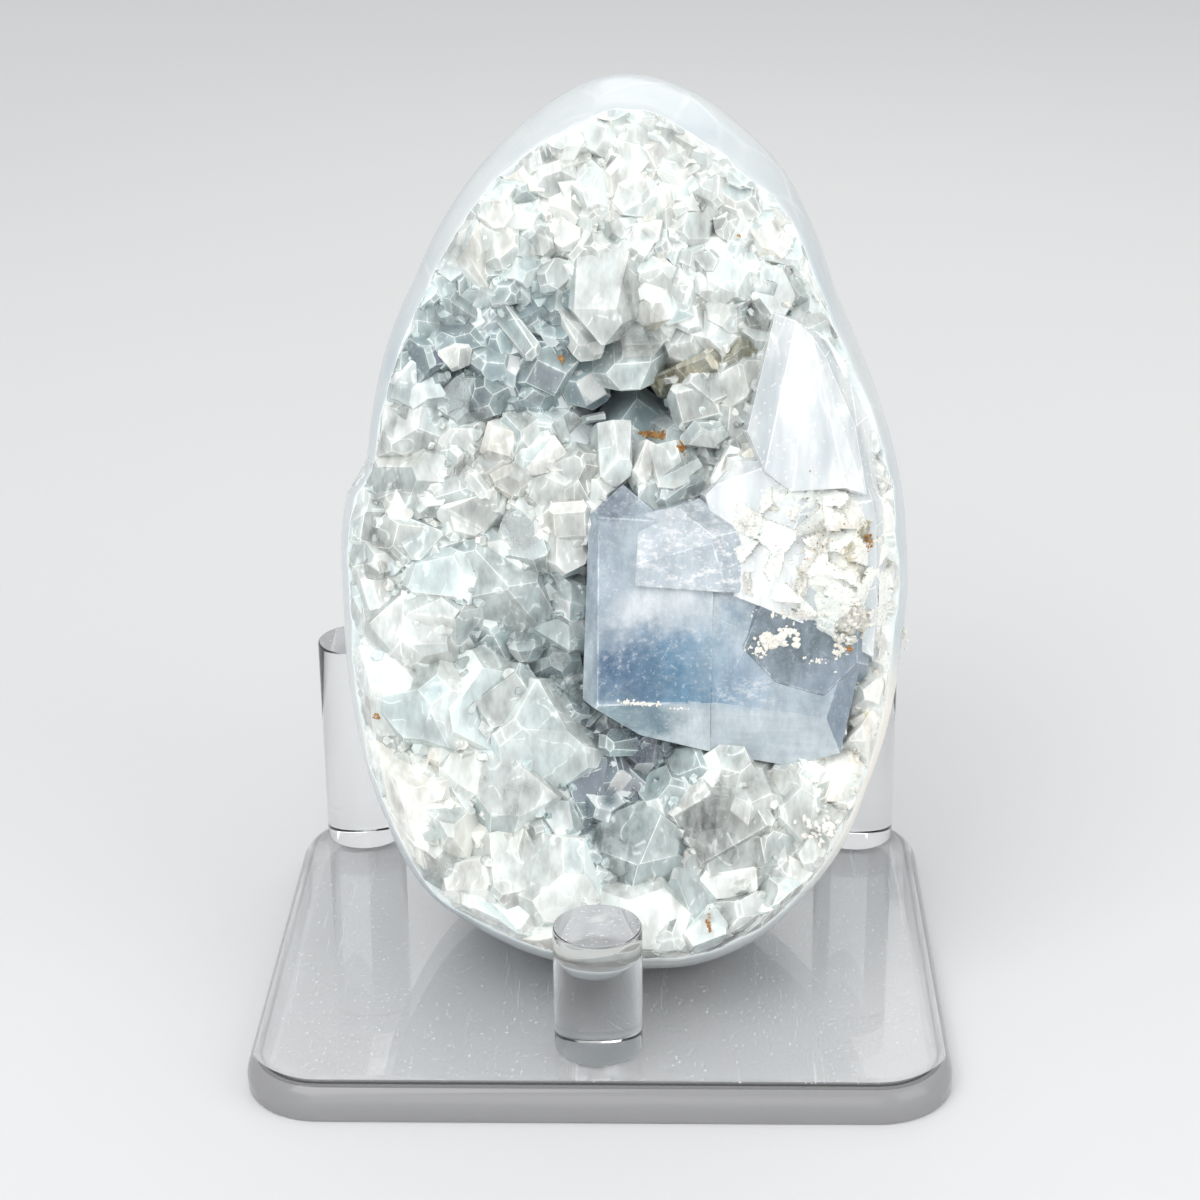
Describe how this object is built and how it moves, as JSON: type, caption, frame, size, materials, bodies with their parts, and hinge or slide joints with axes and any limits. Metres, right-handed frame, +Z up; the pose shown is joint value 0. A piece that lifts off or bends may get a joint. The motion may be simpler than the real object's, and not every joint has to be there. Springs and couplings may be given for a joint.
{
  "type": "celestite geode on stand",
  "caption": "Egg-shaped polished celestite geode with an open pocket of pale blue crystals, leaning back on a clear plate stand with round pegs.",
  "frame": {"origin": "middle of the stand plate's underside, on the surface that it stands on", "axes": "+Z up, -Y towards the open crystal pocket, +X to the right as seen from the front"},
  "size_m": [0.1016, 0.1063, 0.1331],
  "materials": {
    "celestite": "polished shell, glassy crystals",
    "acrylic": "clear, polished"
  },
  "bodies": {
    "root": {"geode": "celestite", "stand_plate": "acrylic", "peg_front": "acrylic", "peg_rear_left": "acrylic", "peg_rear_right": "acrylic"}
  },
  "joints": []
}
